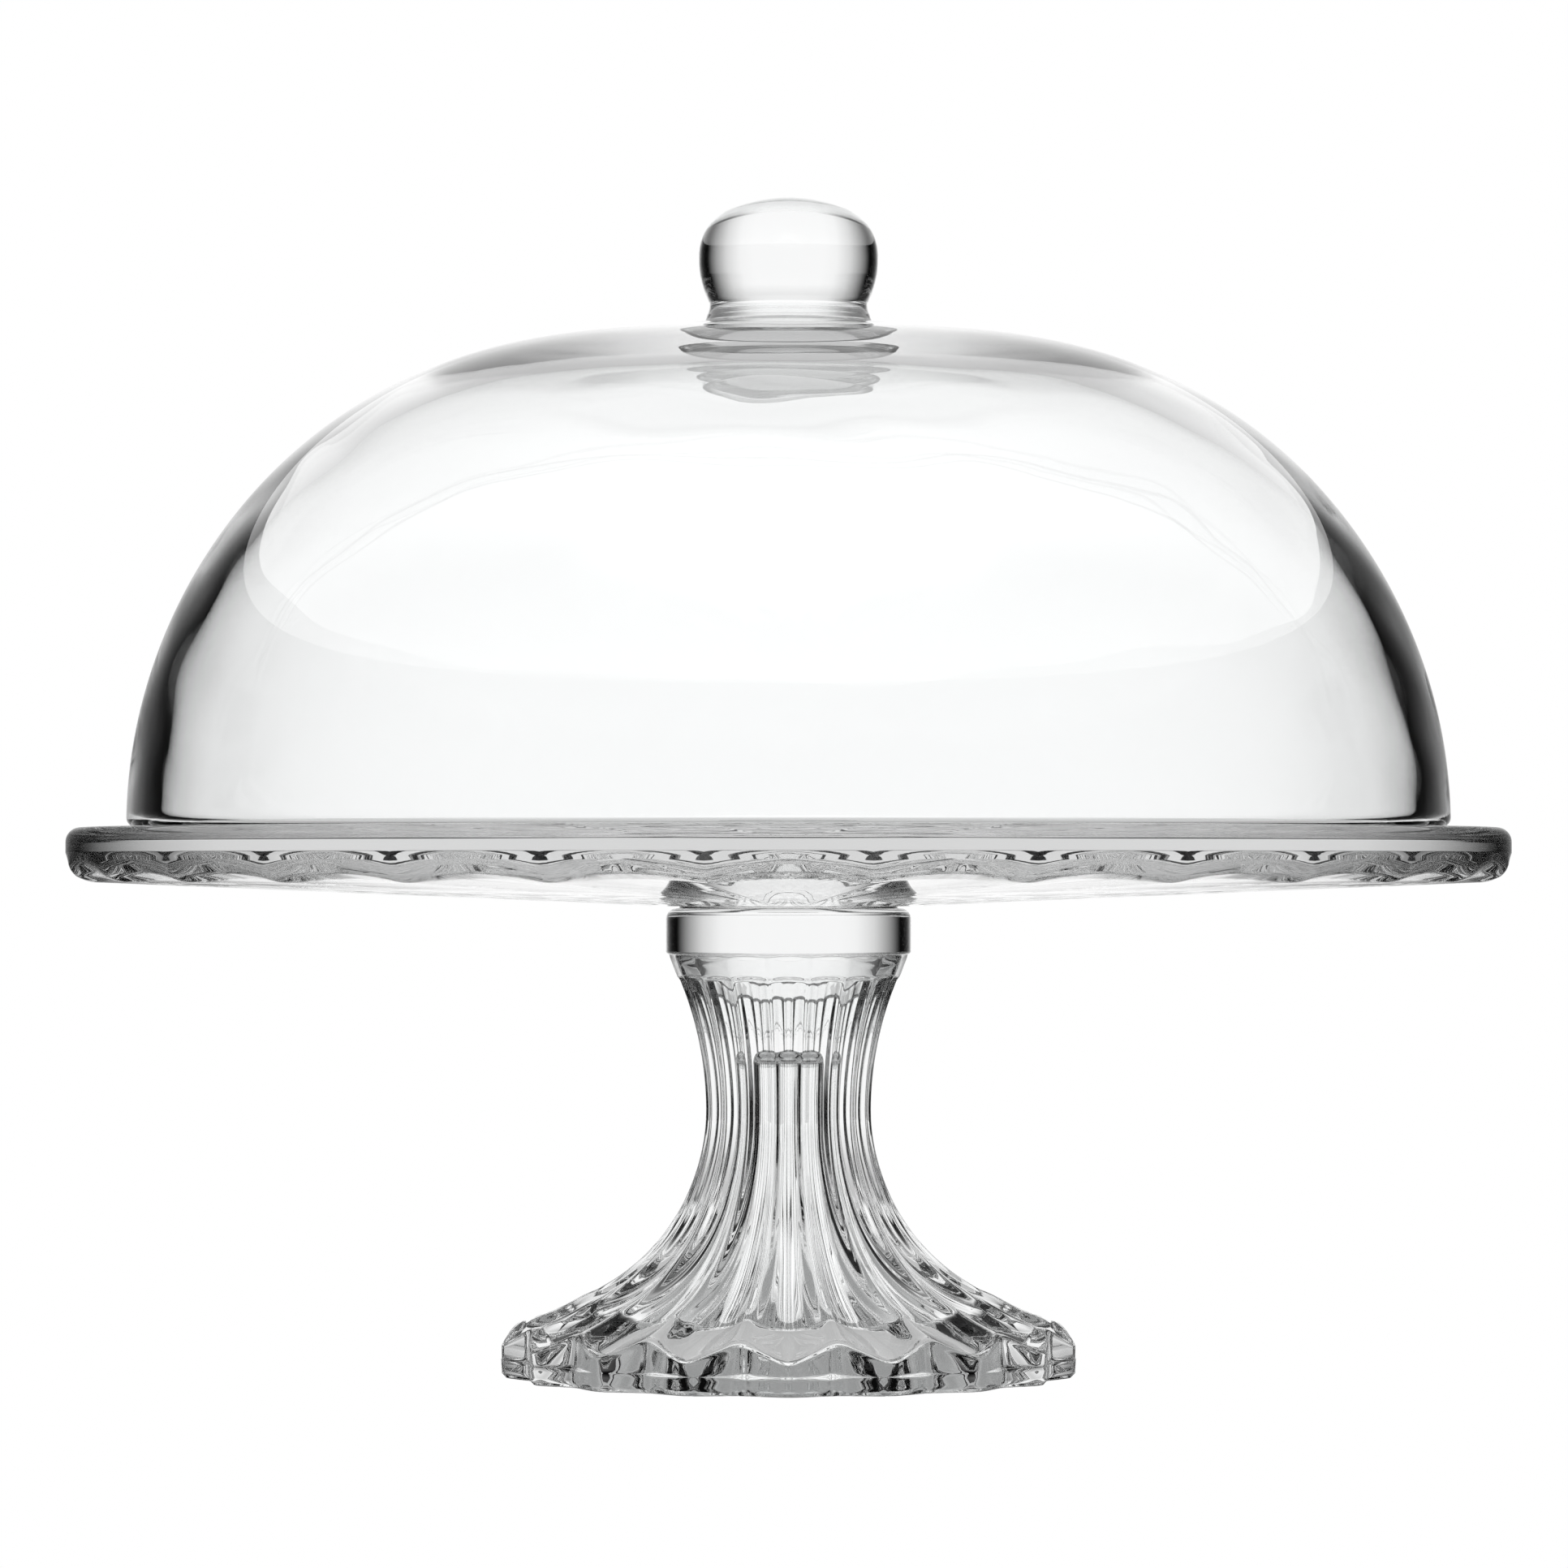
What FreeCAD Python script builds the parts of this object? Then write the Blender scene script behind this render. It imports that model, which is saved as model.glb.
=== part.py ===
import FreeCAD, Part
import math
import os
import Sketcher
from FreeCAD import Placement, Rotation, Vector

# A clear pressed-glass cake stand with its dome.  Millimetres, +Z up, the origin
# at the centre of the foot's resting plane.

FLUTE_COUNT = 18
EDGE_CUT_COUNT = 30
FULL_TURN = 360.0
NOTCH_REACH = 1.6  # how far a star notch runs past the star's tips, as a share of its side
# the cut patterns start at +X; this turns a piece so that one cut faces the front, at -Y
FACING_FRONT = Placement(Vector(), Rotation(Vector(0, 0, 1), -90))

SIZES = {
    # plate
    "plate_radius": 160.0,
    "plate_top": 121.4,
    "plate_edge_bottom": 109.2,
    "plate_edge_inset": 153.5,
    "plate_top_rounding": 3.0,
    "plate_bottom_rounding": 4.5,
    "boss_radius": 29.0,
    "boss_bottom": 104.0,
    "edge_cut_radius": 45.0,
    "edge_cut_depth": 2.6,
    "edge_cut_reach": 151.0,
    "petal_cut_radius": 70.0,
    "petal_cut_depth": 1.0,
    "petal_cut_reach": 119.0,
    # bond between the plate's boss and the collar
    "bond_thickness": 0.4,
    "bond_radius": 25.0,
    # pedestal
    "collar_radius": 27.3,
    "collar_bottom": 93.3,
    "collar_rounding": 2.0,
    "neck_radius": 25.6,
    "neck_height": 90.3,
    "waist_radius": 18.7,
    "waist_height": 58.9,
    "upper_curve": 74.5,
    "lower_curve": 43.7,
    "flare_radius": 46.0,
    "flare_height": 18.4,
    "shoulder_radius": 57.0,
    "shoulder_height": 12.6,
    "brim_radius": 62.5,
    "brim_height": 9.5,
    "star_tip_radius": 64.8,
    "star_valley_radius": 60.0,
    "rim_height": 6.0,
    "foot_bevel": 1.2,
    "flute_radius": 5.0,
    "flute_depth": 1.3,
    "scoop_radius": 14.0,
    "scoop_drop": 4.3,
    # hollow of the pedestal
    "hollow_top": 72.4,
    "hollow_radius": 8.6,
    "hollow_throat": 52.0,
    "hollow_curve": 46.0,
    "hollow_flare_radius": 42.0,
    "hollow_flare_height": 10.5,
    "hollow_mouth": 52.5,
    # dome
    "dome_radius": 146.7,
    "dome_wall": 7.6,
    "side_curve": 112.2,
    "shoulder_join_radius": 120.25,
    "shoulder_join_height": 193.83,
    "shoulder_curve": 103.2,
    "crown_join_radius": 56.14,
    "crown_join_height": 229.39,
    "crown_curve": 393.3,
    "inner_side_curve": 105.0,
    "inner_shoulder_radius": 114.95,
    "inner_shoulder_height": 189.4,
    "inner_shoulder_curve": 95.6,
    "inner_crown_radius": 54.9,
    "inner_crown_height": 221.2,
    "inner_crown_curve": 943.0,
    "dome_rim_rounding": 2.2,
    # knob
    "knob_top": 262.0,
    "knob_radius": 20.0,
    "knob_widest": 248.6,
    "knob_cap_radius": 14.4,
    "knob_cap_height": 258.9,
    "knob_shoulder_curve": 11.0,
    "knob_cheek_curve": 17.0,
    "knob_neck_radius": 17.6,
    "knob_neck_height": 238.2,
    "knob_foot_radius": 19.2,
}


class Size:
    """A length with its present value and the formula that ties it to the sheet."""

    def __init__(self, value, formula):
        self.value = value
        self.formula = formula

    def __add__(self, other):
        return Size(self.value + other.value, f"({self.formula} + {other.formula})")

    def __sub__(self, other):
        return Size(self.value - other.value, f"({self.formula} - {other.formula})")

    def __mul__(self, factor):
        return Size(self.value * factor, f"({self.formula} * {factor:.9f})")


def size(alias):
    return Size(SIZES[alias], f"Sizes.{alias}")


def sag(curve, reach):
    """How far an arc of radius curve, centred on the axis, has dropped at radius reach."""
    drop = curve.value - math.sqrt(curve.value**2 - reach.value**2)
    return Size(drop, f"({curve.formula} - sqrt({curve.formula}^2 - {reach.formula}^2))")


def cap_curve(reach, rise):
    """The radius of an arc that is centred on the axis and rises by rise within radius reach."""
    curve = (reach.value**2 + rise.value**2) / (2 * rise.value)
    return Size(curve, f"(({reach.formula}^2 + {rise.formula}^2) / (2 * {rise.formula}))")


ZERO = Size(0.0, "0")


def write_sheet(document):
    sheet = document.addObject("Spreadsheet::Sheet", "Sizes")
    for row, (alias, value) in enumerate(SIZES.items(), start=1):
        sheet.set(f"A{row}", alias)
        sheet.set(f"B{row}", str(value))
        sheet.setAlias(f"B{row}", alias)
    document.recompute()
    return sheet


def origin_feature(body, role):
    for feature in body.Origin.OriginFeatures:
        if feature.Role == role:
            return feature
    raise ValueError(f"{body.Label} has no {role}")


def new_body(document, name):
    body = document.addObject("PartDesign::Body", name)
    body.Label = name
    return body


def new_sketch(body, name, plane):
    sketch = body.newObject("Sketcher::SketchObject", name)
    sketch.AttachmentSupport = (origin_feature(body, plane), [""])
    sketch.MapMode = "FlatFace"
    return sketch


def pin(sketch, geometry, end, horizontal, vertical):
    """Holds one end of a piece of geometry at a place given by two sizes."""
    for kind, length, axis in (("DistanceX", horizontal, -2), ("DistanceY", vertical, -1)):
        if length.value == 0.0:
            sketch.addConstraint(Sketcher.Constraint("PointOnObject", geometry, end, axis))
            continue
        constraint = Sketcher.Constraint(kind, -1, 1, geometry, end, length.value)
        index = sketch.addConstraint(constraint)
        sketch.setExpression(f"Constraints[{index}]", length.formula)


def arc_between(start, end, radius, bulge):
    """An arc from start to end.  bulge is +1 where it bows to the left of its way, -1 to the right."""
    way = end - start
    half = way.Length / 2
    across = Vector(-way.y, way.x, 0).normalize()
    middle = (start + end) * 0.5 + across * bulge * (radius - math.sqrt(radius**2 - half**2))
    return Part.Arc(start, middle, end)


def add_outline(sketch, corners):
    """A closed outline.  Each corner is (across, up) or (across, up, curve, bulge), where the last
    two make the side that leaves it an arc."""
    places = [Vector(corner[0].value, corner[1].value, 0) for corner in corners]
    count = len(corners)
    for number, corner in enumerate(corners):
        start = places[number]
        end = places[(number + 1) % count]
        if len(corner) == 2:
            sketch.addGeometry(Part.LineSegment(start, end), False)
        else:
            sketch.addGeometry(arc_between(start, end, corner[2].value, corner[3]), False)
    runs_backwards = [len(corner) > 2 and corner[3] > 0 for corner in corners]
    first = [2 if backwards else 1 for backwards in runs_backwards]
    last = [1 if backwards else 2 for backwards in runs_backwards]
    for number, corner in enumerate(corners):
        following = (number + 1) % count
        join = ("Coincident", number, last[number], following, first[following])
        sketch.addConstraint(Sketcher.Constraint(*join))
        pin(sketch, number, first[number], corner[0], corner[1])
        if len(corner) > 2:
            index = sketch.addConstraint(Sketcher.Constraint("Radius", number, corner[2].value))
            sketch.setExpression(f"Constraints[{index}]", corner[2].formula)


def turn(body, name, corners, kind="PartDesign::Revolution"):
    """Turns an outline in the XZ plane once round the Z axis."""
    sketch = new_sketch(body, f"{name}Outline", "XZ_Plane")
    add_outline(sketch, corners)
    feature = body.newObject(kind, name)
    feature.Profile = sketch
    feature.ReferenceAxis = (sketch, ["V_Axis"])
    feature.Angle = FULL_TURN
    return feature


def repeat_round(body, name, originals, count):
    pattern = body.newObject("PartDesign::PolarPattern", name)
    pattern.Originals = originals
    pattern.Axis = (origin_feature(body, "Z_Axis"), [""])
    pattern.Angle = FULL_TURN
    pattern.Occurrences = count
    body.Tip = pattern
    return pattern


def circle_edges(shape, radius, height):
    """The names of the circular edges about the Z axis at this radius and height."""
    names = []
    for number, edge in enumerate(shape.Edges, start=1):
        if edge.Degenerated or not isinstance(edge.Curve, Part.Circle):
            continue
        curve = edge.Curve
        centred = math.hypot(curve.Center.x, curve.Center.y) < 0.01
        if centred and abs(curve.Radius - radius) < 0.05 and abs(curve.Center.z - height) < 0.05:
            names.append(f"Edge{number}")
    return names


def round_edge(body, name, base, radius, height, rounding):
    """Rounds the circular edge at this radius and height."""
    body.Document.recompute()
    fillet = body.newObject("PartDesign::Fillet", name)
    fillet.Base = (base, circle_edges(base.Shape, radius, height))
    fillet.Radius = rounding.value
    fillet.setExpression("Radius", rounding.formula)
    return fillet


def dish(body, name, reach, underside, radius, depth):
    """A shallow ball-shaped cut into the plate's underside, centred at radius reach."""
    ball = body.newObject("PartDesign::SubtractiveSphere", name)
    ball.AttachmentSupport = (origin_feature(body, "XY_Plane"), [""])
    ball.MapMode = "FlatFace"
    middle = underside - radius + depth
    ball.Radius = radius.value
    ball.AttachmentOffset = Placement(Vector(reach.value, 0, middle.value), Rotation())
    ball.setExpression("Radius", radius.formula)
    ball.setExpression("AttachmentOffset.Base.x", reach.formula)
    ball.setExpression("AttachmentOffset.Base.z", middle.formula)
    return ball


def make_plate(document):
    body = new_body(document, "cake_plate")
    blank = turn(body, "PlateBlank", [
        (ZERO, size("boss_bottom")),
        (size("boss_radius"), size("boss_bottom")),
        (size("plate_edge_inset"), size("plate_edge_bottom")),
        (size("plate_radius"), size("plate_edge_bottom") + size("plate_bottom_rounding")),
        (size("plate_radius"), size("plate_top")),
        (ZERO, size("plate_top")),
    ])
    top = size("plate_top_rounding")
    rim = round_edge(body, "TopEdge", blank, SIZES["plate_radius"], SIZES["plate_top"], top)
    body.Tip = rim
    slope = (SIZES["plate_edge_bottom"] - SIZES["boss_bottom"]) / (
        SIZES["plate_edge_inset"] - SIZES["boss_radius"]
    )
    petal_reach = size("petal_cut_reach")
    petal_level = size("boss_bottom") + (petal_reach - size("boss_radius")) * slope
    edge_cut = dish(
        body,
        "EdgeCut",
        size("edge_cut_reach"),
        size("plate_edge_bottom"),
        size("edge_cut_radius"),
        size("edge_cut_depth"),
    )
    repeat_round(body, "EdgeCuts", [edge_cut], EDGE_CUT_COUNT)
    petal_cut = dish(
        body,
        "PetalCut",
        petal_reach,
        petal_level,
        size("petal_cut_radius"),
        size("petal_cut_depth"),
    )
    repeat_round(body, "PetalCuts", [petal_cut], EDGE_CUT_COUNT)
    body.Placement = FACING_FRONT
    return body


def make_bond(document):
    disc = document.addObject("Part::Cylinder", "pedestal_bond")
    disc.Label = "pedestal_bond"
    level = size("boss_bottom") - size("bond_thickness")
    disc.Radius = SIZES["bond_radius"]
    disc.Height = SIZES["bond_thickness"]
    disc.Placement = Placement(Vector(0, 0, level.value), Rotation())
    disc.setExpression("Radius", size("bond_radius").formula)
    disc.setExpression("Height", size("bond_thickness").formula)
    disc.setExpression("Placement.Base.z", level.formula)
    return disc


def swept_flute(body, name, curve, section, depth, drop, sweep, reversed_way):
    """Cuts one flute along the stem: a circle turned about a level axis outside the waist."""
    sketch = new_sketch(body, f"{name}Section", "XY_Plane")
    level = size("waist_height") - drop
    sketch.AttachmentOffset = Placement(Vector(0, 0, level.value), Rotation())
    sketch.setExpression("AttachmentOffset.Base.z", level.formula)
    axis_reach = size("waist_radius") + curve
    centre_reach = size("waist_radius") + section - depth
    centre = Vector(centre_reach.value, 0, 0)
    sketch.addGeometry(Part.Circle(centre, Vector(0, 0, 1), section.value), False)
    pin(sketch, 0, 3, centre_reach, ZERO)
    index = sketch.addConstraint(Sketcher.Constraint("Radius", 0, section.value))
    sketch.setExpression(f"Constraints[{index}]", section.formula)
    low = Vector(axis_reach.value, 0, 0)
    high = Vector(axis_reach.value, section.value, 0)
    sketch.addGeometry(Part.LineSegment(low, high), True)
    pin(sketch, 1, 1, axis_reach, ZERO)
    pin(sketch, 1, 2, axis_reach, section)
    groove = body.newObject("PartDesign::Groove", name)
    groove.Profile = sketch
    groove.ReferenceAxis = (sketch, ["Axis0"])
    groove.Angle = sweep
    groove.Reversed = reversed_way
    return groove


def make_pedestal(document):
    body = new_body(document, "pedestal")
    collar_top = size("boss_bottom") - size("bond_thickness")
    blank = turn(body, "PedestalBlank", [
        (ZERO, ZERO),
        (size("star_tip_radius") - size("foot_bevel"), ZERO),
        (size("star_tip_radius"), size("foot_bevel")),
        (size("star_tip_radius"), size("rim_height")),
        (size("brim_radius"), size("brim_height")),
        (size("shoulder_radius"), size("shoulder_height")),
        (size("flare_radius"), size("flare_height"), size("lower_curve"), 1),
        (size("waist_radius"), size("waist_height"), size("upper_curve"), 1),
        (size("neck_radius"), size("neck_height")),
        (size("collar_radius"), size("collar_bottom")),
        (size("collar_radius"), collar_top),
        (ZERO, collar_top),
    ])
    rounding = size("collar_rounding")
    collar = round_edge(
        body, "CollarEdge", blank, SIZES["collar_radius"], collar_top.value, rounding
    )
    body.Tip = collar
    flute = (size("flute_radius"), size("flute_depth"), ZERO)
    scoop = (size("scoop_radius"), ZERO, size("scoop_drop"))
    cuts = [
        swept_flute(body, "UpperFlute", size("upper_curve"), *flute, 21.0, False),
        swept_flute(body, "LowerFlute", size("lower_curve"), *flute, 64.0, True),
        swept_flute(body, "FlareScoop", size("lower_curve"), *scoop, 100.0, True),
    ]
    repeat_round(body, "Flutes", cuts, FLUTE_COUNT)

    step = math.radians(FULL_TURN / FLUTE_COUNT)
    valley = size("star_valley_radius")
    tip = size("star_tip_radius")
    valley_point = (valley * math.cos(step / 2), valley * math.sin(step / 2))
    outer_points = []
    for angle in (0.0, step):
        tip_point = (tip * math.cos(angle), tip * math.sin(angle))
        sides = [(t - v) * NOTCH_REACH + v for t, v in zip(tip_point, valley_point)]
        outer_points.append(tuple(sides))
    sketch = new_sketch(body, "StarNotchOutline", "XY_Plane")
    add_outline(sketch, [valley_point, *outer_points])
    notch = body.newObject("PartDesign::Pocket", "StarNotch")
    notch.Profile = sketch
    notch.Reversed = True
    notch.Length = SIZES["flare_height"]
    notch.setExpression("Length", size("flare_height").formula)
    repeat_round(body, "StarNotches", [notch], FLUTE_COUNT)

    hollow = turn(body, "Hollow", [
        (ZERO, ZERO),
        (size("hollow_mouth"), ZERO),
        (size("hollow_flare_radius"), size("hollow_flare_height"), size("hollow_curve"), 1),
        (size("hollow_radius"), size("hollow_throat")),
        (size("hollow_radius"), size("hollow_top")),
        (ZERO, size("hollow_top")),
    ], "PartDesign::Groove")
    body.Tip = hollow
    body.Placement = FACING_FRONT
    return body


def make_dome(document):
    body = new_body(document, "dome_shell")
    crown_top = size("crown_join_height") + sag(size("crown_curve"), size("crown_join_radius"))
    inner_top = size("inner_crown_height") + sag(
        size("inner_crown_curve"), size("inner_crown_radius")
    )
    inner_rim = size("dome_radius") - size("dome_wall")
    shell = turn(body, "DomeShell", [
        (inner_rim, size("plate_top")),
        (size("dome_radius"), size("plate_top"), size("side_curve"), -1),
        (size("shoulder_join_radius"), size("shoulder_join_height"), size("shoulder_curve"), -1),
        (size("crown_join_radius"), size("crown_join_height"), size("crown_curve"), -1),
        (ZERO, crown_top),
        (ZERO, inner_top, size("inner_crown_curve"), 1),
        (
            size("inner_crown_radius"),
            size("inner_crown_height"),
            size("inner_shoulder_curve"),
            1,
        ),
        (
            size("inner_shoulder_radius"),
            size("inner_shoulder_height"),
            size("inner_side_curve"),
            1,
        ),
    ])
    rounding = size("dome_rim_rounding")
    level = SIZES["plate_top"]
    outer = round_edge(body, "OuterRim", shell, SIZES["dome_radius"], level, rounding)
    body.Tip = outer
    inner = round_edge(body, "InnerRim", outer, inner_rim.value, level, rounding)
    body.Tip = inner
    return body


def make_knob(document):
    body = new_body(document, "dome_knob")
    crown = size("crown_curve")
    crown_top = size("crown_join_height") + sag(crown, size("crown_join_radius"))
    seat_edge = crown_top - sag(crown, size("knob_foot_radius"))
    cap = cap_curve(size("knob_cap_radius"), size("knob_top") - size("knob_cap_height"))
    knob = turn(body, "Knob", [
        (ZERO, crown_top, crown, 1),
        (size("knob_foot_radius"), seat_edge),
        (size("knob_neck_radius"), size("knob_neck_height"), size("knob_cheek_curve"), -1),
        (size("knob_radius"), size("knob_widest"), size("knob_shoulder_curve"), -1),
        (size("knob_cap_radius"), size("knob_cap_height"), cap, -1),
        (ZERO, size("knob_top")),
    ])
    body.Tip = knob
    return body


def check_document(document, pieces):
    for item in document.Objects:
        faults = {"Invalid", "Error"} & set(item.State)
        if faults:
            raise RuntimeError(f"{item.Label} is {faults}")
    for piece in pieces:
        shape = piece.Shape
        if shape.isNull() or not shape.isValid() or len(shape.Solids) != 1:
            raise RuntimeError(f"{piece.Label} isn't one valid solid")


def main():
    document = FreeCAD.newDocument("CakeStand")
    write_sheet(document)
    pieces = [
        make_plate(document),
        make_bond(document),
        make_pedestal(document),
        make_dome(document),
        make_knob(document),
    ]
    document.recompute()
    check_document(document, pieces)
    os.makedirs("parts", exist_ok=True)
    for piece in pieces:
        piece.Shape.exportStep(f"parts/{piece.Label}.step")
        print(f"{piece.Label}: {piece.Shape.Volume / 1000:.1f} cm3")


main()
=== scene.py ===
import math

import bpy
import numpy as np
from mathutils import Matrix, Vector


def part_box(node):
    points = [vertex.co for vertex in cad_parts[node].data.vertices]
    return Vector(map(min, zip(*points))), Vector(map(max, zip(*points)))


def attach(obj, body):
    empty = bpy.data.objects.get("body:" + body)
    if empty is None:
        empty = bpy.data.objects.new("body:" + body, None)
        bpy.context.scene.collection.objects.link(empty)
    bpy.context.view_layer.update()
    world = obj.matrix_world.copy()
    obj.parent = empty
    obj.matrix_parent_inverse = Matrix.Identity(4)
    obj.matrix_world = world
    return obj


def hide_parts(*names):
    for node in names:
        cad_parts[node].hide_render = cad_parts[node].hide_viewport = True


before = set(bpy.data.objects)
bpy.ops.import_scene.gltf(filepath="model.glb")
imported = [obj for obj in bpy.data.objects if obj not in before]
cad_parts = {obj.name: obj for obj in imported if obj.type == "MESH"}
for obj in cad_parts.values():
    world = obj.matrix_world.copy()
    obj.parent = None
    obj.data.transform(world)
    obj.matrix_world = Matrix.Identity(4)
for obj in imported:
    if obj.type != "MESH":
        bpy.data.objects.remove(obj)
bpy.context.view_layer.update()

# A clear pressed-glass cake stand with its dome.  Metres, +Z up, the foot's resting plane at z = 0.
# Every glass piece is one closed mesh, ring upon ring about the stand's axis.  Where two pieces are
# fused or glued, one reaches a little into the other, so that light goes through the joint.

MM = 0.001

FLUTE_COUNT = 18
PETAL_COUNT = 30
CONTACT_GAP = 0.04 * MM  # the dome only rests on the plate
FUSED_DEPTH = 0.3 * MM  # how far a fused or glued piece reaches into its neighbour

PLATE_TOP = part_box("cake_plate")[1].z
KNOB_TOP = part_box("dome_knob")[1].z
PEDESTAL_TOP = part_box("pedestal")[1].z
BOND_LOW, BOND_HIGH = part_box("pedestal_bond")
PLATE_RADIUS = 160.0 * MM


# ---------------------------------------------------------------- curves and rings

def arc(start, end, radius, bulge, count):
    """Points from start to end on an arc, start left out.  bulge is +1 where it bows to the left."""
    start, end = np.array(start, float), np.array(end, float)
    way = end - start
    half = np.linalg.norm(way) / 2
    across = np.array([-way[1], way[0]]) / (2 * half)
    centre = (start + end) / 2 - across * bulge * math.sqrt(max(radius**2 - half**2, 0.0))
    first = math.atan2(*(start - centre)[::-1])
    sweep = -bulge * 2 * math.asin(min(half / radius, 1.0))
    turns = first + sweep * np.linspace(0, 1, count + 1)[1:]
    return centre + radius * np.stack([np.cos(turns), np.sin(turns)], axis=1)


def line(start, end, count):
    """Points from start to end on a straight line, start left out."""
    share = np.linspace(0, 1, count + 1)[1:, None]
    return np.array(start, float) * (1 - share) + np.array(end, float) * share


def outline(start, *moves):
    """A profile as an (n, 2) array of radius and height.  A move is (end, count) or
    (end, count, radius, bulge)."""
    parts = [np.array([start], float)]
    for move in moves:
        here = parts[-1][-1]
        if len(move) == 2:
            parts.append(line(here, move[0], move[1]))
        else:
            parts.append(arc(here, move[0], move[2], move[3], move[1]))
    return np.concatenate(parts)


def smooth_step(value, low, high):
    share = np.clip((value - low) / (high - low), 0, 1)
    return share * share * (3 - 2 * share)


def mesh_from_rings(name, rings):
    """A closed mesh from an array of rings (rings, points round, xyz).  The first and last rings
    are single places on the axis."""
    count, around = rings.shape[:2]
    inner = rings[1:-1].reshape(-1, 3)
    places = np.concatenate([rings[0, :1], inner, rings[-1, :1]])
    step = np.arange(around)
    after = (step + 1) % around
    quads = []
    for row in range(count - 3):
        low, high = 1 + row * around, 1 + (row + 1) * around
        quads.append(np.stack([low + step, high + step, high + after, low + after], axis=1))
    quads = np.concatenate(quads)
    first, last = 0, len(places) - 1
    caps = [(first, 1 + int(i), 1 + int(j)) for i, j in zip(step, after)]
    base = 1 + (count - 3) * around
    caps += [(last, base + int(j), base + int(i)) for i, j in zip(step, after)]
    mesh = bpy.data.meshes.new(name)
    mesh.from_pydata(places.tolist(), [], quads.tolist() + caps)
    mesh.validate()
    mesh.shade_smooth()
    piece = bpy.data.objects.new(name, mesh)
    bpy.context.scene.collection.objects.link(piece)
    return piece


def angles(count):
    """Evenly spaced angles once round, from the front, which is -Y."""
    return np.linspace(0, 2 * math.pi, count + 1)[:-1]


def in_repeat(angle, repeats):
    """Where an angle lies in its repeat: 0 at the middle, -1 and 1 at the edges."""
    step = 2 * math.pi / repeats
    return (angle + step / 2) % step / step * 2 - 1


def turned(radius, height, angle):
    """xyz from radius, height and angle from the front (any shapes that broadcast)."""
    radius, height, angle = np.broadcast_arrays(radius, height, angle)
    return np.stack([radius * np.sin(angle), -radius * np.cos(angle), height], axis=-1)


def summed(across, power):
    """The integral of |across| to this power, where across starts again at each repeat's edge."""
    whole = np.round(across / 2)
    rest = across - 2 * whole
    return (2 * whole + np.sign(rest) * np.abs(rest) ** (power + 1)) / (power + 1)


def between(ridge, valley, across, power, soft):
    """Rings whose profile is ridge at a repeat's edges and valley at its middle.  power shapes the
    way between them: 2 is a round scoop, 1 a straight-sided V.  soft is how much of the half width
    the rounding takes: the way is a mean over that width."""
    across, power = across[None, :], power[:, None]
    share = 1 - (summed(across + soft, power) - summed(across - soft, power)) / (2 * soft)
    return ridge[:, None, :] + (valley - ridge)[:, None, :] * share[..., None]


# ---------------------------------------------------------------- the dome and its knob

DOME_RADIUS = 146.7
RIM_LEVEL = PLATE_TOP / MM
SHOULDER = (120.25, 193.83)
CROWN_EDGE = (56.14, 229.39)
SIDE_CURVE, SHOULDER_CURVE, CROWN_CURVE = 112.2, 103.2, 393.3
CROWN_TOP = CROWN_EDGE[1] + CROWN_CURVE - math.sqrt(CROWN_CURVE**2 - CROWN_EDGE[0] ** 2)
RIM_ROUNDING = 2.2
SIDE_WALL, CROWN_EXTRA, RIM_EXTRA = 6.9, 3.7, 0.7  # the wall, and how much thicker it is there


def dome_outside():
    """The dome's outer profile from the crown down to the rim's rounding."""
    return outline(
        (0.0, CROWN_TOP),
        (CROWN_EDGE, 40, CROWN_CURVE, 1),
        (SHOULDER, 60, SHOULDER_CURVE, 1),
        ((DOME_RADIUS, RIM_LEVEL + RIM_ROUNDING), 60, SIDE_CURVE, 1),
    )


def make_dome():
    outside = dome_outside()
    slope = np.gradient(outside, axis=0)
    slope /= np.linalg.norm(slope, axis=1)[:, None]
    inward = np.stack([slope[:, 1], -slope[:, 0]], axis=1)
    run = np.concatenate([[0], np.cumsum(np.linalg.norm(np.diff(outside, axis=0), axis=1))])
    share = run / run[-1]
    wall = SIDE_WALL + CROWN_EXTRA * (1 - smooth_step(share, 0.0, 0.45))
    wall = wall + RIM_EXTRA * smooth_step(share, 0.7, 1.0)
    around = angles(256)
    theta = around[None, :]
    place = share[:, None]
    # the wall is slightly uneven, but for the crown and the rim
    ripple = 0.07 * np.sin(3 * theta + 9 * place) * np.sin(11 * place + 1.3)
    ripple = ripple + 0.05 * np.sin(5 * theta - 23 * place + 0.7)
    ripple = ripple + 0.04 * np.sin(11 * theta + 31 * place) * np.sin(17 * place)
    ripple = ripple + 0.02 * np.sin(19 * theta - 47 * place)
    fade = smooth_step(share, 0.35, 0.6) * (1 - smooth_step(share, 0.93, 1.0))
    thickness = wall[:, None] + ripple * fade[:, None]
    inner = outside[:, None, :] + inward[:, None, :] * thickness[..., None]
    bottom = RIM_LEVEL + CONTACT_GAP / MM
    inner_edge = inner[-1, 0, 0]
    rim = outline(
        (DOME_RADIUS, RIM_LEVEL + RIM_ROUNDING),
        ((DOME_RADIUS - RIM_ROUNDING, bottom), 8, RIM_ROUNDING, 1),
        ((inner_edge + RIM_ROUNDING, bottom), 6),
        ((inner_edge, RIM_LEVEL + RIM_ROUNDING), 8, RIM_ROUNDING, 1),
    )[1:-1]
    rings = [
        turned(outside[:, :1], outside[:, 1:], theta),
        turned(rim[:, :1], rim[:, 1:], theta),
        turned(inner[::-1, :, 0], inner[::-1, :, 1], theta),
    ]
    return mesh_from_rings("dome_glass", np.concatenate(rings) * MM)


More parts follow.
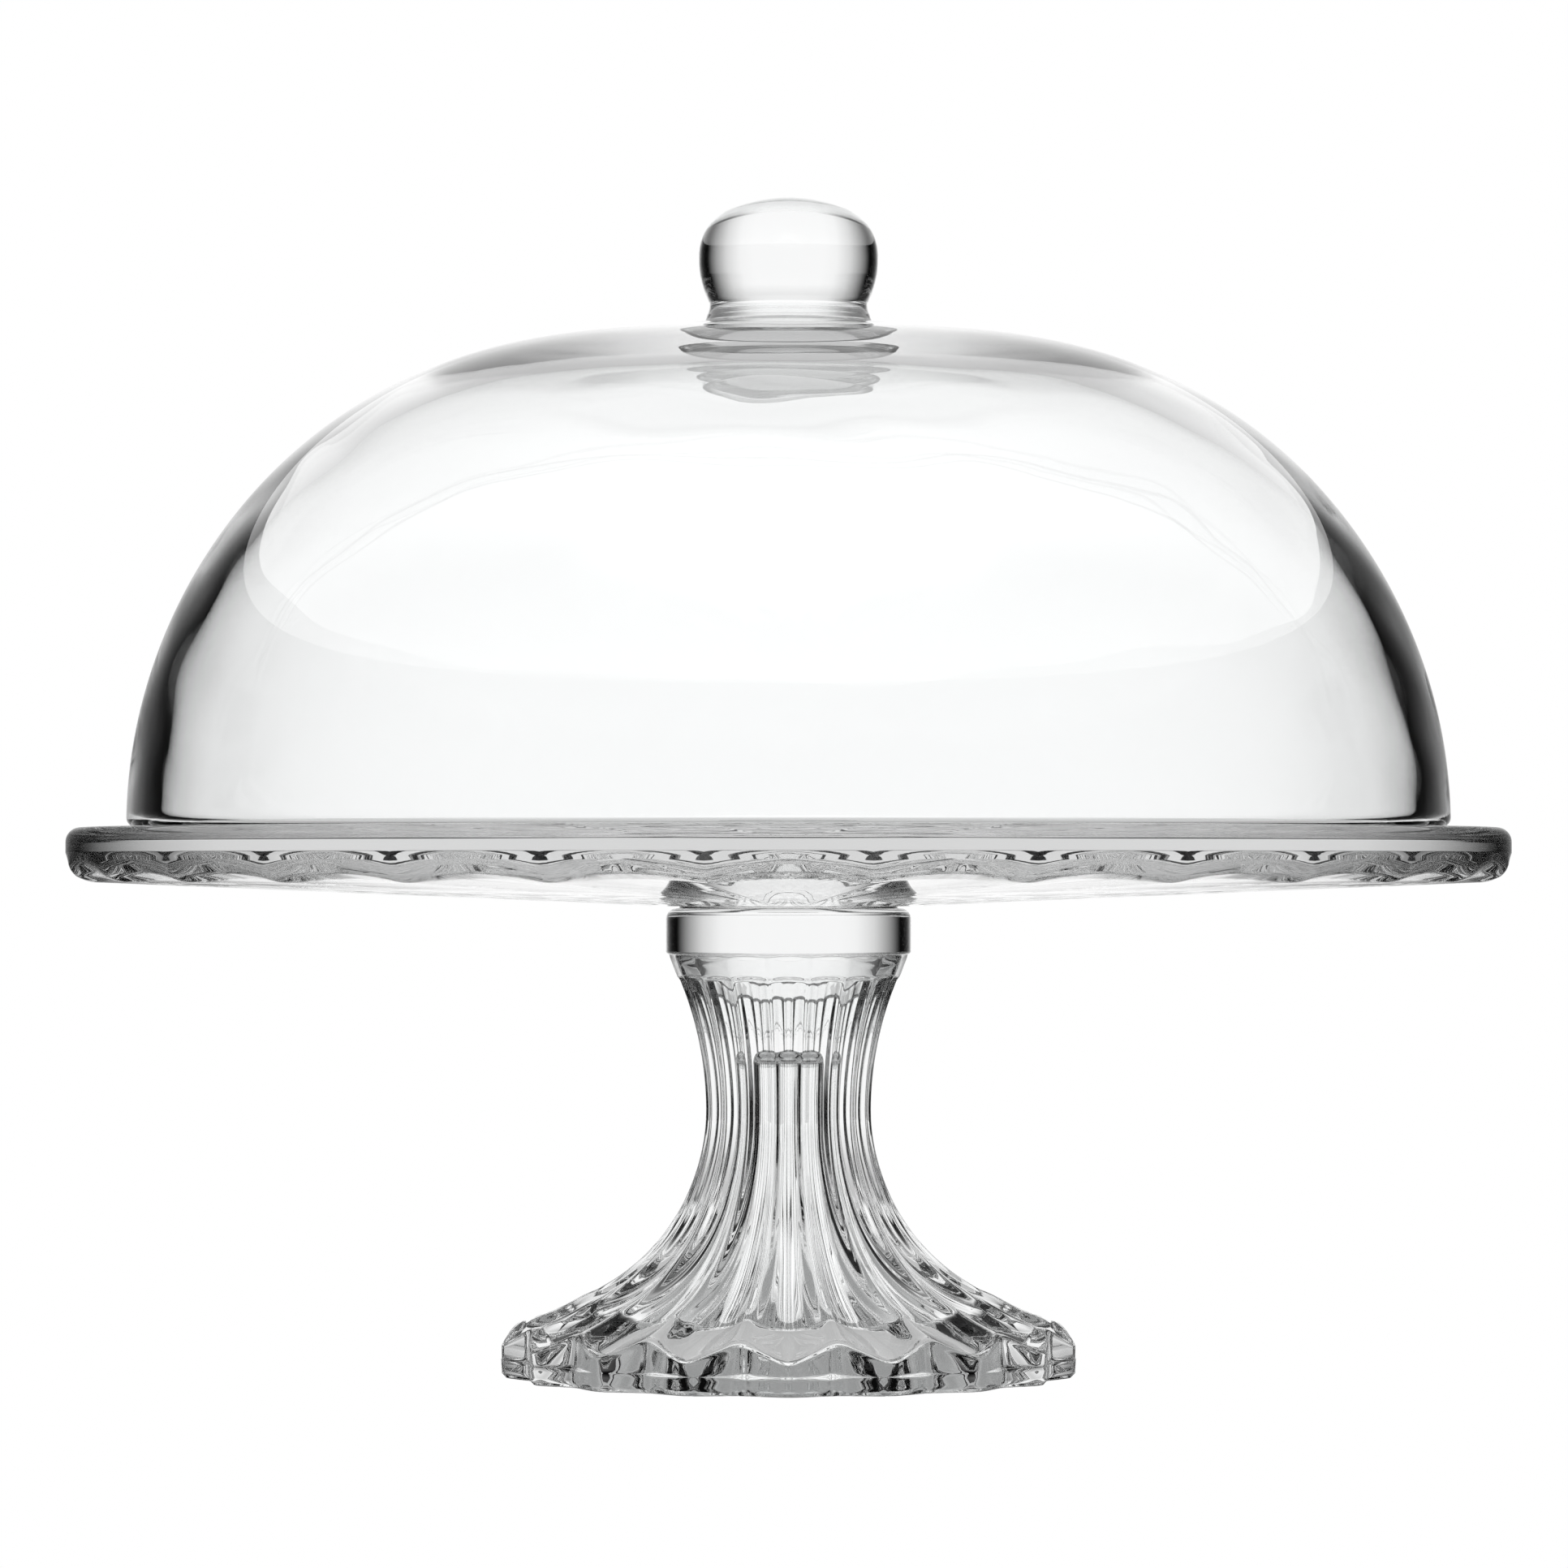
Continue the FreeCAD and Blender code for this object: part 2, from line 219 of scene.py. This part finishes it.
def make_knob():
    top = KNOB_TOP / MM
    seat = 19.2
    level = CROWN_TOP - CROWN_CURVE + math.sqrt(CROWN_CURVE**2 - seat**2)
    sunk = FUSED_DEPTH / MM
    profile = outline(
        (0.0, top),
        ((14.4, 258.7), 24, 33.0, 1),
        ((20.0, 248.6), 24, 11.2, 1),
        ((17.6, 238.4), 24, 20.5, 1),
        ((18.2, 235.6), 10, 4.5, -1),
        ((seat, level + 0.4), 8, 6.0, -1),
        ((seat, level - sunk), 3),
        ((0.0, CROWN_TOP - sunk), 16, CROWN_CURVE, -1),
    )
    around = angles(160)
    return mesh_from_rings("knob_glass", turned(profile[:, :1], profile[:, 1:], around[None, :]) * MM)


# ---------------------------------------------------------------- the plate

def make_plate():
    top = PLATE_TOP / MM
    edge = PLATE_RADIUS / MM
    smooth = outline(
        (0.0, top),
        ((edge - 3.2, top), 30),
        ((edge, top - 3.2), 10, 3.2, 1),
        ((edge, top - 5.4), 3),
    )
    ridge = outline(
        (edge, top - 5.6),
        ((edge - 0.1, 113.0), 3),
        ((edge - 1.6, 110.6), 5, 4.0, 1),
        ((153.5, 109.2), 6, 9.0, 1),
        ((128.0, 108.15), 12),
        ((100.0, 107.0), 10),
        ((42.0, 104.55), 20),
        ((33.0, 104.1), 6),
    )
    valley = outline(
        (edge, top - 5.6),
        ((edge - 1.0, 113.6), 3),
        ((edge - 4.0, 111.4), 5),
        ((149.0, 110.2), 6),
        ((128.0, 109.2), 12),
        ((100.0, 107.9), 10),
        ((42.0, 105.5), 20),
        ((33.0, 104.1), 6),
    )
    around = angles(PETAL_COUNT * 24)
    across = in_repeat(around, PETAL_COUNT)
    power = np.interp(np.arange(len(ridge)), [0, 3, 8, 14, 26, len(ridge)], [1.0, 1.0, 1.2, 2, 2, 2])
    relief = between(ridge, valley, across, power, 0.1)
    boss = outline((33.0, 104.1), ((29.0, 104.0), 3), ((0.0, 104.0), 14))[1:]
    rings = [
        turned(smooth[:, :1], smooth[:, 1:], around[None, :]),
        turned(relief[..., 0], relief[..., 1], around[None, :]),
        turned(boss[:, :1], boss[:, 1:], around[None, :]),
    ]
    return mesh_from_rings("plate_glass", np.concatenate(rings) * MM)


# ---------------------------------------------------------------- the pedestal

WAIST = (18.7, 58.9)
HOLLOW_RIPPLE = 0.12
FLUTE_SCOOP, FOOT_SCOOP, LEDGE = 1.5, 2.6, 0.35  # how deep the flutes are, past a flat facet


def make_pedestal():
    top = PEDESTAL_TOP / MM
    collar = outline(
        (0.0, top),
        ((24.8, top), 6),
        ((27.3, top - 2.5), 10, 2.5, 1),
        ((27.3, 94.0), 3),
        ((26.9, 93.35), 4, 0.8, 1),
    )
    ridge = outline(
        (26.8, 93.3),
        ((25.3, 89.4), 5),
        ((24.3, 86.9), 10),
        (WAIST, 24, 76.0, -1),
        ((46.0, 18.4), 42, 43.7, -1),
        ((57.2, 12.5), 10),
        ((60.0, 11.6), 6, 3.5, 1),
    )
    slope = np.gradient(ridge, axis=0)
    slope /= np.linalg.norm(slope, axis=1)[:, None]
    inward = np.stack([slope[:, 1], -slope[:, 0]], axis=1)
    height = ridge[:, 1]
    flat = ridge[:, 0] * (1 - math.cos(math.pi / FLUTE_COUNT))
    scoop = FLUTE_SCOOP * smooth_step(-height, -88.6, -87.2)
    scoop = scoop + FOOT_SCOOP * smooth_step(-height, -48.0, -14.0)
    ledge = LEDGE * smooth_step(height, 92.0, 93.3)
    depth = flat + scoop + ledge
    valley = ridge + inward * depth[:, None]
    # the scoop's floor runs on outwards to the star's tip
    lean = smooth_step(-height, -17.0, -11.6)[:, None]
    tip_way = np.array([64.3, 7.2])
    valley = valley * (1 - lean) + (valley + (tip_way - valley[-1])) * lean
    around = angles(FLUTE_COUNT * 25)
    across = in_repeat(around, FLUTE_COUNT)
    power = 2.0 - 0.9 * smooth_step(-height, -15.0, -11.6)
    upper = between(ridge, valley, across, power, 0.22)
    # the star's side: scooped facets over a plain band
    side_ridge = outline(
        (60.0, 11.6),
        ((60.25, 10.8), 3),
        ((60.1, 4.4), 8),
        ((60.6, 3.9), 2),
        ((60.4, 1.0), 4),
        ((59.6, 0.0), 3),
    )[1:]
    side_valley = outline(
        (64.3, 7.2),
        ((64.75, 6.5), 3),
        ((64.7, 4.4), 8),
        ((64.8, 3.9), 2),
        ((64.6, 1.0), 4),
        ((63.6, 0.0), 3),
    )[1:]
    side_power = np.interp(np.arange(len(side_ridge)), [0, 3, 10, 20], [1.05, 0.95, 1.0, 1.0])
    side = between(side_ridge, side_valley, across, side_power, 0.2)
    hollow = outline(
        (52.6, 0.0),
        ((52.0, 0.6), 3),
        ((42.0, 10.5), 8),
        ((8.6, 52.0), 36, 46.0, 1),
        ((8.5, 69.6), 8),
        ((5.6, 72.7), 10, 3.4, -1),
        ((0.0, 73.4), 10, 22.0, -1),
    )
    # slight unevenness, which keeps the flutes' refraction from making regular stripes
    rise = hollow[:, 1:]
    uneven = np.sin(5 * around + 0.4 + 0.02 * rise) + 0.7 * np.sin(13 * around + 1.1 - 0.05 * rise)
    uneven = uneven + 0.6 * np.sin(29 * around + 2.3) + 0.5 * np.sin(47 * around + 0.3 + 0.03 * rise)
    uneven = HOLLOW_RIPPLE * uneven * smooth_step(rise, 2.0, 10.0) * smooth_step(hollow[:, :1], 0.0, 40.0)
    ring_in = outline((58.0, 0.0), ((52.6, 0.0), 5))[:-1]
    blend = np.linspace(0.25, 1, len(ring_in))[:, None]
    star = side[-1][None, :, 0] * (1 - blend) + ring_in[:, :1] * blend
    rings = [
        turned(collar[:, :1], collar[:, 1:], around[None, :]),
        turned(upper[..., 0], upper[..., 1], around[None, :]),
        turned(side[..., 0], side[..., 1], around[None, :]),
        turned(star, ring_in[:, 1:], around[None, :]),
        turned(hollow[:, :1] + uneven, rise, around[None, :]),
    ]
    return mesh_from_rings("pedestal_glass", np.concatenate(rings) * MM)


def make_bond():
    low = BOND_LOW.z / MM - FUSED_DEPTH / MM
    high = BOND_HIGH.z / MM + FUSED_DEPTH / MM
    profile = outline(
        (0.0, high),
        ((24.2, high), 6),
        ((24.4, (low + high) / 2), 4),
        ((24.2, low), 4),
        ((0.0, low), 6),
    )
    around = angles(96)
    return mesh_from_rings("bond_film", turned(profile[:, :1], profile[:, 1:], around[None, :]) * MM)


# ---------------------------------------------------------------- materials

GLASS_IOR = 1.52
ABSORPTION = 1.2  # per metre, the same for every colour


def set_stops(ramp, stops):
    """Gives a colour ramp its grey levels, as (position, level) pairs from position 0 to 1."""
    ramp.color_ramp.interpolation = "LINEAR"
    elements = ramp.color_ramp.elements
    for position, _ in stops[1:-1]:
        elements.new(position)
    for (_, level), element in zip(stops, elements):
        element.color = (level, level, level, 1.0)


def glass_material(name, tint, ripple_size, ripple_height):
    """Clear pressed glass: smooth, with the faint ripple of the mould and hardly any haze."""
    material = bpy.data.materials.new(name)
    material.use_nodes = True
    tree = material.node_tree
    shader = tree.nodes["Principled BSDF"]
    shader.inputs["Transmission Weight"].default_value = 1.0
    shader.inputs["IOR"].default_value = GLASS_IOR
    where = tree.nodes.new("ShaderNodeTexCoord")
    ripple = tree.nodes.new("ShaderNodeTexNoise")
    ripple.inputs["Scale"].default_value = ripple_size
    ripple.inputs["Detail"].default_value = 2.0
    tree.links.new(where.outputs["Object"], ripple.inputs["Vector"])
    bump = tree.nodes.new("ShaderNodeBump")
    bump.inputs["Strength"].default_value = 1.0
    bump.inputs["Distance"].default_value = ripple_height
    tree.links.new(ripple.outputs["Fac"], bump.inputs["Height"])
    tree.links.new(bump.outputs["Normal"], shader.inputs["Normal"])
    haze = tree.nodes.new("ShaderNodeMapRange")
    haze.inputs["From Min"].default_value = 0.3
    haze.inputs["From Max"].default_value = 0.8
    haze.inputs["To Min"].default_value = 0.0
    haze.inputs["To Max"].default_value = 0.012
    tree.links.new(ripple.outputs["Fac"], haze.inputs["Value"])
    tree.links.new(haze.outputs["Result"], shader.inputs["Roughness"])
    depth = tree.nodes.new("ShaderNodeVolumeAbsorption")
    depth.inputs["Color"].default_value = (0.0, 0.0, 0.0, 1.0)
    depth.inputs["Density"].default_value = ABSORPTION
    tree.links.new(depth.outputs["Volume"], tree.nodes["Material Output"].inputs["Volume"])
    colour = tree.nodes.new("ShaderNodeMix")
    colour.data_type = "RGBA"
    colour.inputs["A"].default_value = (*tint, 1.0)
    colour.inputs["B"].default_value = (*[min(1.0, c * 1.01) for c in tint], 1.0)
    tree.links.new(ripple.outputs["Fac"], colour.inputs["Factor"])
    tree.links.new(colour.outputs["Result"], shader.inputs["Base Color"])
    return material


def ramp_of(tree, measure, stops):
    ramp = tree.nodes.new("ShaderNodeValToRGB")
    set_stops(ramp, stops)
    tree.links.new(measure, ramp.inputs["Fac"])
    return ramp.outputs["Color"]


def light_level(tree, solid, walls, mirrored, own_steps=0.0):
    """The light that a part of the studio gives.  Light that has come through one solid piece of
    glass, light through thin walls, two surfaces each, and light that the glass has mirrored on
    its way, from the dark side of the room, each have a level.  The camera itself sees white.
    own_steps is 1 for the world, which counts itself as a step of the light's way."""
    path = tree.nodes.new("ShaderNodeLightPath")
    mirrorings = maths(tree, "SUBTRACT", path.outputs["Ray Depth"], path.outputs["Transmission Depth"])
    is_mirrored = maths(tree, "GREATER_THAN", mirrorings, 0.5 + own_steps)
    is_walls = maths(tree, "GREATER_THAN", path.outputs["Transmission Depth"], 3.5)
    level = maths(tree, "MULTIPLY", solid, GLASS_LOSS)
    through_walls = maths(tree, "MULTIPLY", walls, GLASS_LOSS**2)
    by_mirror = maths(tree, "MULTIPLY", mirrored, GLASS_LOSS)
    is_camera = path.outputs["Is Camera Ray"]
    for chance, other in ((is_walls, through_walls), (is_mirrored, by_mirror), (is_camera, 1.0)):
        change = maths(tree, "SUBTRACT", other, level)
        level = maths(tree, "MULTIPLY_ADD", chance, change, level)
    return level


def studio_material(name, solid, walls, mirrored):
    """A surface that gives its own soft light.  Each argument is a list of grey levels and the
    measure of the surface that they follow, for the three kinds of light in light_level."""
    material = bpy.data.materials.new(name)
    material.use_nodes = True
    material.cycles.emission_sampling = "NONE"
    tree = material.node_tree
    tree.nodes.clear()
    place = tree.nodes.new("ShaderNodeTexCoord").outputs["Object"]
    levels = [ramp_of(tree, measure(tree, place), stops) for stops, measure in (solid, walls, mirrored)]
    light = tree.nodes.new("ShaderNodeEmission")
    tree.links.new(light_level(tree, *levels), light.inputs["Strength"])
    output = tree.nodes.new("ShaderNodeOutputMaterial")
    tree.links.new(light.outputs["Emission"], output.inputs["Surface"])
    return material


def maths(tree, operation, *values):
    node = tree.nodes.new("ShaderNodeMath")
    node.operation = operation
    for socket, value in zip(node.inputs, values):
        if isinstance(value, float):
            socket.default_value = value
        else:
            tree.links.new(value, socket)
    return node.outputs[0]


def distance_out(tree, place):
    """How far a place on the floor is from the object's axis, as a share of the tent's radius."""
    away = tree.nodes.new("ShaderNodeVectorMath")
    away.operation = "LENGTH"
    tree.links.new(place, away.inputs[0])
    return maths(tree, "DIVIDE", away.outputs["Value"], TENT_RADIUS)


def turn_from_back(tree, place):
    """A place's angle about the axis, from 0 straight behind the object to 1 straight in front."""
    split = tree.nodes.new("ShaderNodeSeparateXYZ")
    tree.links.new(place, split.inputs["Vector"])
    x, y, _ = split.outputs
    turn = maths(tree, "ARCTAN2", maths(tree, "ABSOLUTE", x), y)
    return maths(tree, "DIVIDE", turn, math.pi)


# ---------------------------------------------------------------- studio and camera

TENT_RADIUS = 0.50
TENT_HEIGHT = 0.36
TENT_SIDES = 96
GLASS_LOSS = 1.08  # makes up for what two clear surfaces reflect
# The floor's light by distance from the axis is dimmer near the stand. This is a painted shadow under it, met
# only by light through the glass; the camera sees the floor white.
FLOOR_SHADOW_STOPS = [(0.0, 0.45), (0.2, 0.6), (0.4, 0.85), (1.0, 1.0)]
# Levels by degrees from straight behind.  They aren't a known studio's: they were worked out from
# the photograph's greys in the collar and the dome's edge, and the glass's refraction there.  The
# solid ones are the same in front: the tent is whitest behind and in front, with two black cards
# on each side and a lighter gap between them.
SOLID_LEVELS = [(0, 1.0), (15, 1.0), (22, 0.96), (31, 0.73), (36, 0.53), (42, 0.32), (48, 0.12), (52, 0.02),
                (54, 0.003), (81, 0.003), (85, 0.9)]
SOLID_STOPS = [(turn / 180, level) for turn, level in SOLID_LEVELS]
SOLID_STOPS += [(1 - position, level) for position, level in reversed(SOLID_STOPS)]
WALL_STOPS = [(0.0, 1.0), (0.12, 1.0), (0.2, 0.85), (0.3, 0.65), (0.5, 0.75), (0.7, 0.65), (0.88, 1.0),
              (1.0, 1.0)]
# light that the glass mirrors meets a dark room, but for the white behind the object
MIRRORED_LEVELS = [(0, 1.0), (12, 1.0), (18, 0.85), (25, 0.5), (32, 0.2), (38, 0.08), (45, 0.02), (50, 0.003),
                   (180, 0.003)]
MIRRORED_STOPS = [(turn / 180, level) for turn, level in MIRRORED_LEVELS]
# by how steeply the light goes up or down
SKY_STOPS = [(0.0, 1.0), (0.28, 1.0), (0.5, 0.6), (0.8, 0.4), (1.0, 0.4)]


def make_studio():
    world = bpy.data.worlds.new("studio")
    bpy.context.scene.world = world
    world.use_nodes = True
    world.cycles.sampling_method = "NONE"
    tree = world.node_tree
    way = tree.nodes.new("ShaderNodeTexCoord").outputs["Generated"]
    split = tree.nodes.new("ShaderNodeSeparateXYZ")
    tree.links.new(way, split.inputs["Vector"])
    sky = ramp_of(tree, maths(tree, "ABSOLUTE", split.outputs["Z"]), SKY_STOPS)
    sides = ramp_of(tree, turn_from_back(tree, way), SOLID_STOPS)
    level = light_level(tree, maths(tree, "MULTIPLY", sky, sides), sky, sky, 1.0)
    tree.links.new(level, tree.nodes["Background"].inputs["Strength"])
    tree.nodes["Background"].inputs["Color"].default_value = (1.0, 1.0, 1.0, 1.0)

    mirrored = (MIRRORED_STOPS, turn_from_back)
    through_solid, through_walls = (SOLID_STOPS, turn_from_back), (WALL_STOPS, turn_from_back)
    tent_cloth = studio_material("tent_cloth", through_solid, through_walls, mirrored)
    # the floor: pale, with a painted shadow round the stand's foot
    floor_painted_shadow = (FLOOR_SHADOW_STOPS, distance_out)
    pale_floor_painted_shadow = studio_material("pale_floor_painted_shadow", floor_painted_shadow, floor_painted_shadow, mirrored)
    around = angles(TENT_SIDES)
    low = np.stack([TENT_RADIUS * np.cos(around), TENT_RADIUS * np.sin(around), 0 * around], axis=1)
    high = low + (0, 0, TENT_HEIGHT)
    count = len(around)
    walls = [(i, (i + 1) % count, count + (i + 1) % count, count + i) for i in range(count)]
    tent = bpy.data.meshes.new("tent")
    tent.from_pydata(np.concatenate([low, high]).tolist(), [], walls)
    tent.materials.append(tent_cloth)
    floor = bpy.data.meshes.new("floor")
    floor.from_pydata(low.tolist(), [], [tuple(range(count))])
    floor.materials.append(pale_floor_painted_shadow)
    for name, mesh in (("tent", tent), ("floor", floor)):
        stand = bpy.data.objects.new(name, mesh)
        stand.location.z = -0.02 * MM
        bpy.context.scene.collection.objects.link(stand)
        if name == "tent":
            stand.visible_camera = False


CAMERA_LENS = 141.61491  # millimetres, on a sensor 36 wide
CAMERA_PLACE = (-0.0010, -1.374, 0.1115)
CAMERA_PITCH = math.radians(0.8216857)


def make_camera():
    data = bpy.data.cameras.new("camera")
    camera = bpy.data.objects.new("camera", data)
    bpy.context.scene.collection.objects.link(camera)
    data.sensor_width = 36.0
    data.lens = CAMERA_LENS
    data.clip_start, data.clip_end = 0.05, 50.0
    camera.location = CAMERA_PLACE
    camera.rotation_euler = (math.pi / 2 + CAMERA_PITCH, 0.0, 0.0)
    bpy.context.scene.camera = camera


def set_light_paths():
    cycles = bpy.context.scene.cycles
    cycles.max_bounces = 32
    cycles.transmission_bounces = 32
    cycles.glossy_bounces = 24
    cycles.diffuse_bounces = 2
    cycles.transparent_max_bounces = 8
    cycles.use_denoising = True
    cycles.caustics_refractive = True
    cycles.caustics_reflective = True
    cycles.blur_glossy = 0.0
    bpy.context.scene.view_settings.view_transform = "Standard"


def main():
    clear = glass_material("clear_pressed_glass", (0.985, 0.99, 0.99), 40.0, 0.02 * MM)
    film = glass_material("clear_film", (0.99, 0.99, 0.99), 90.0, 0.005 * MM)
    pieces = [
        (make_plate(), "stand", "clear_glass", "cake_plate", clear),
        (make_pedestal(), "stand", "clear_glass", "pedestal", clear),
        (make_bond(), "stand", "clear_adhesive", "pedestal_bond", film),
        (make_dome(), "dome", "clear_glass", "dome_shell", clear),
        (make_knob(), "dome", "clear_glass", "dome_knob", clear),
    ]
    for piece, body, slot, node, material in pieces:
        piece.data.materials.append(material)
        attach(piece, body)
        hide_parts(node)
    make_studio()
    make_camera()
    set_light_paths()


main()
